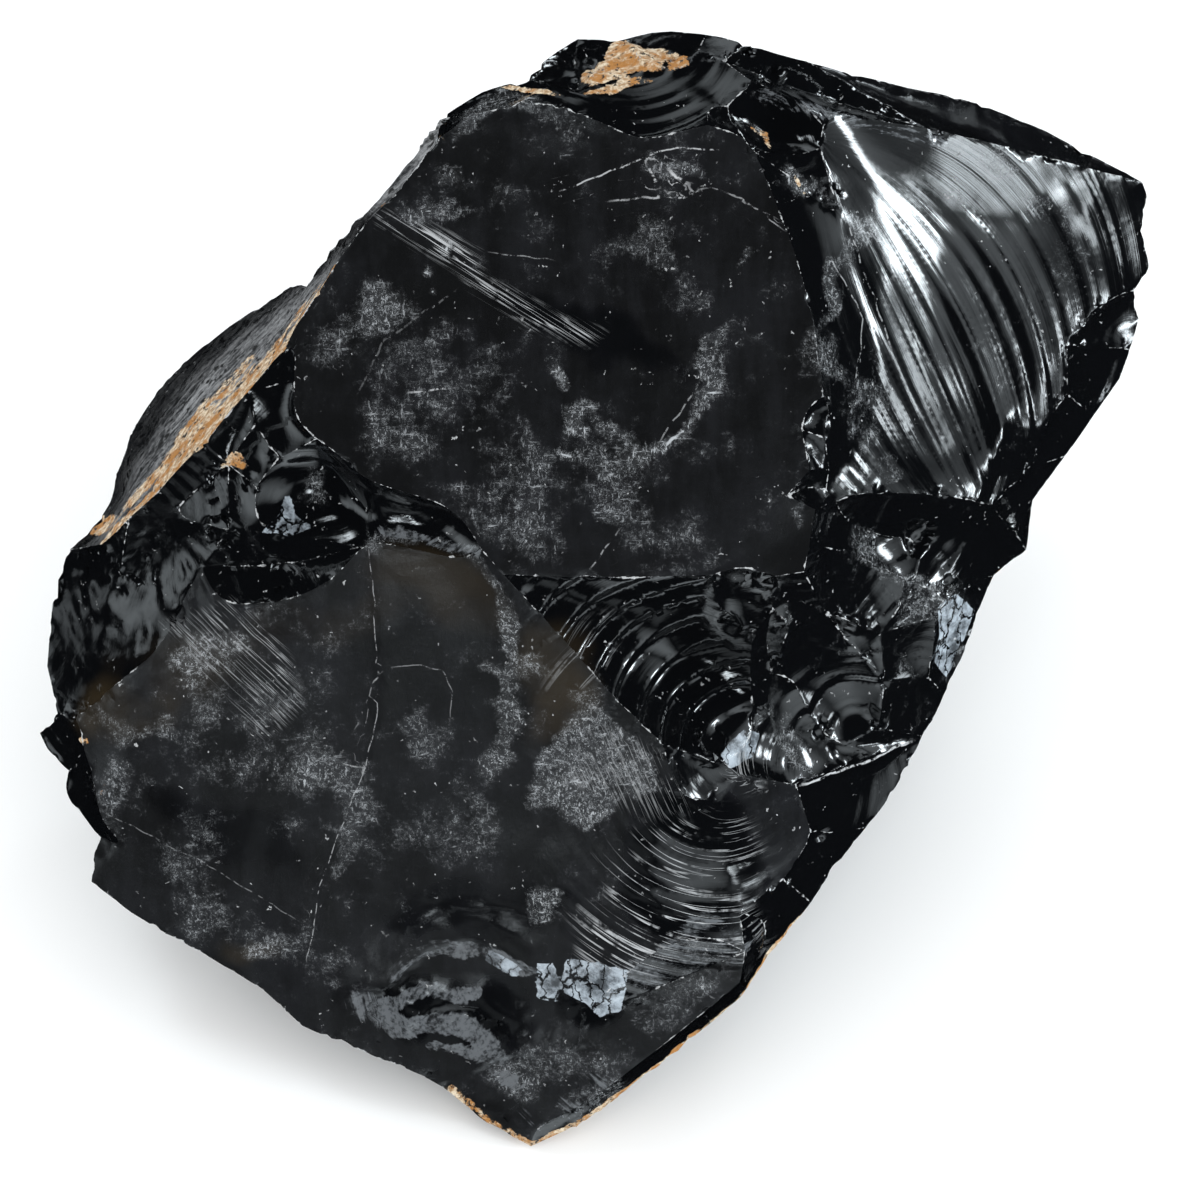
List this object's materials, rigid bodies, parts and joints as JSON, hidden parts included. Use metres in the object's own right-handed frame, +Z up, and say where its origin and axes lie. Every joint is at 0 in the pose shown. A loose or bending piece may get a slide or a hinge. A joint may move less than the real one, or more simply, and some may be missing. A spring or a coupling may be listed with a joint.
{
  "type": "obsidian chunk",
  "caption": "Raw lump of black volcanic glass with glossy ribbed shell-like fracture faces, dull scuffed faces and a tan weathered edge, lying on a flat fracture.",
  "frame": {"origin": "centre of the bounding box at the level of the surface the chunk lies on", "axes": "+Z up, +X to the right of the broad upper face, -Y towards its low front tip"},
  "size_m": [0.201, 0.164, 0.1304],
  "materials": {
    "obsidian": "black glass, from mirror-glossy on fresh fractures to dull and scuffed on old ones, with white crushed edges and tan weathered crust in places"
  },
  "bodies": {
    "root": {"obsidian_chunk": "obsidian"}
  },
  "joints": []
}
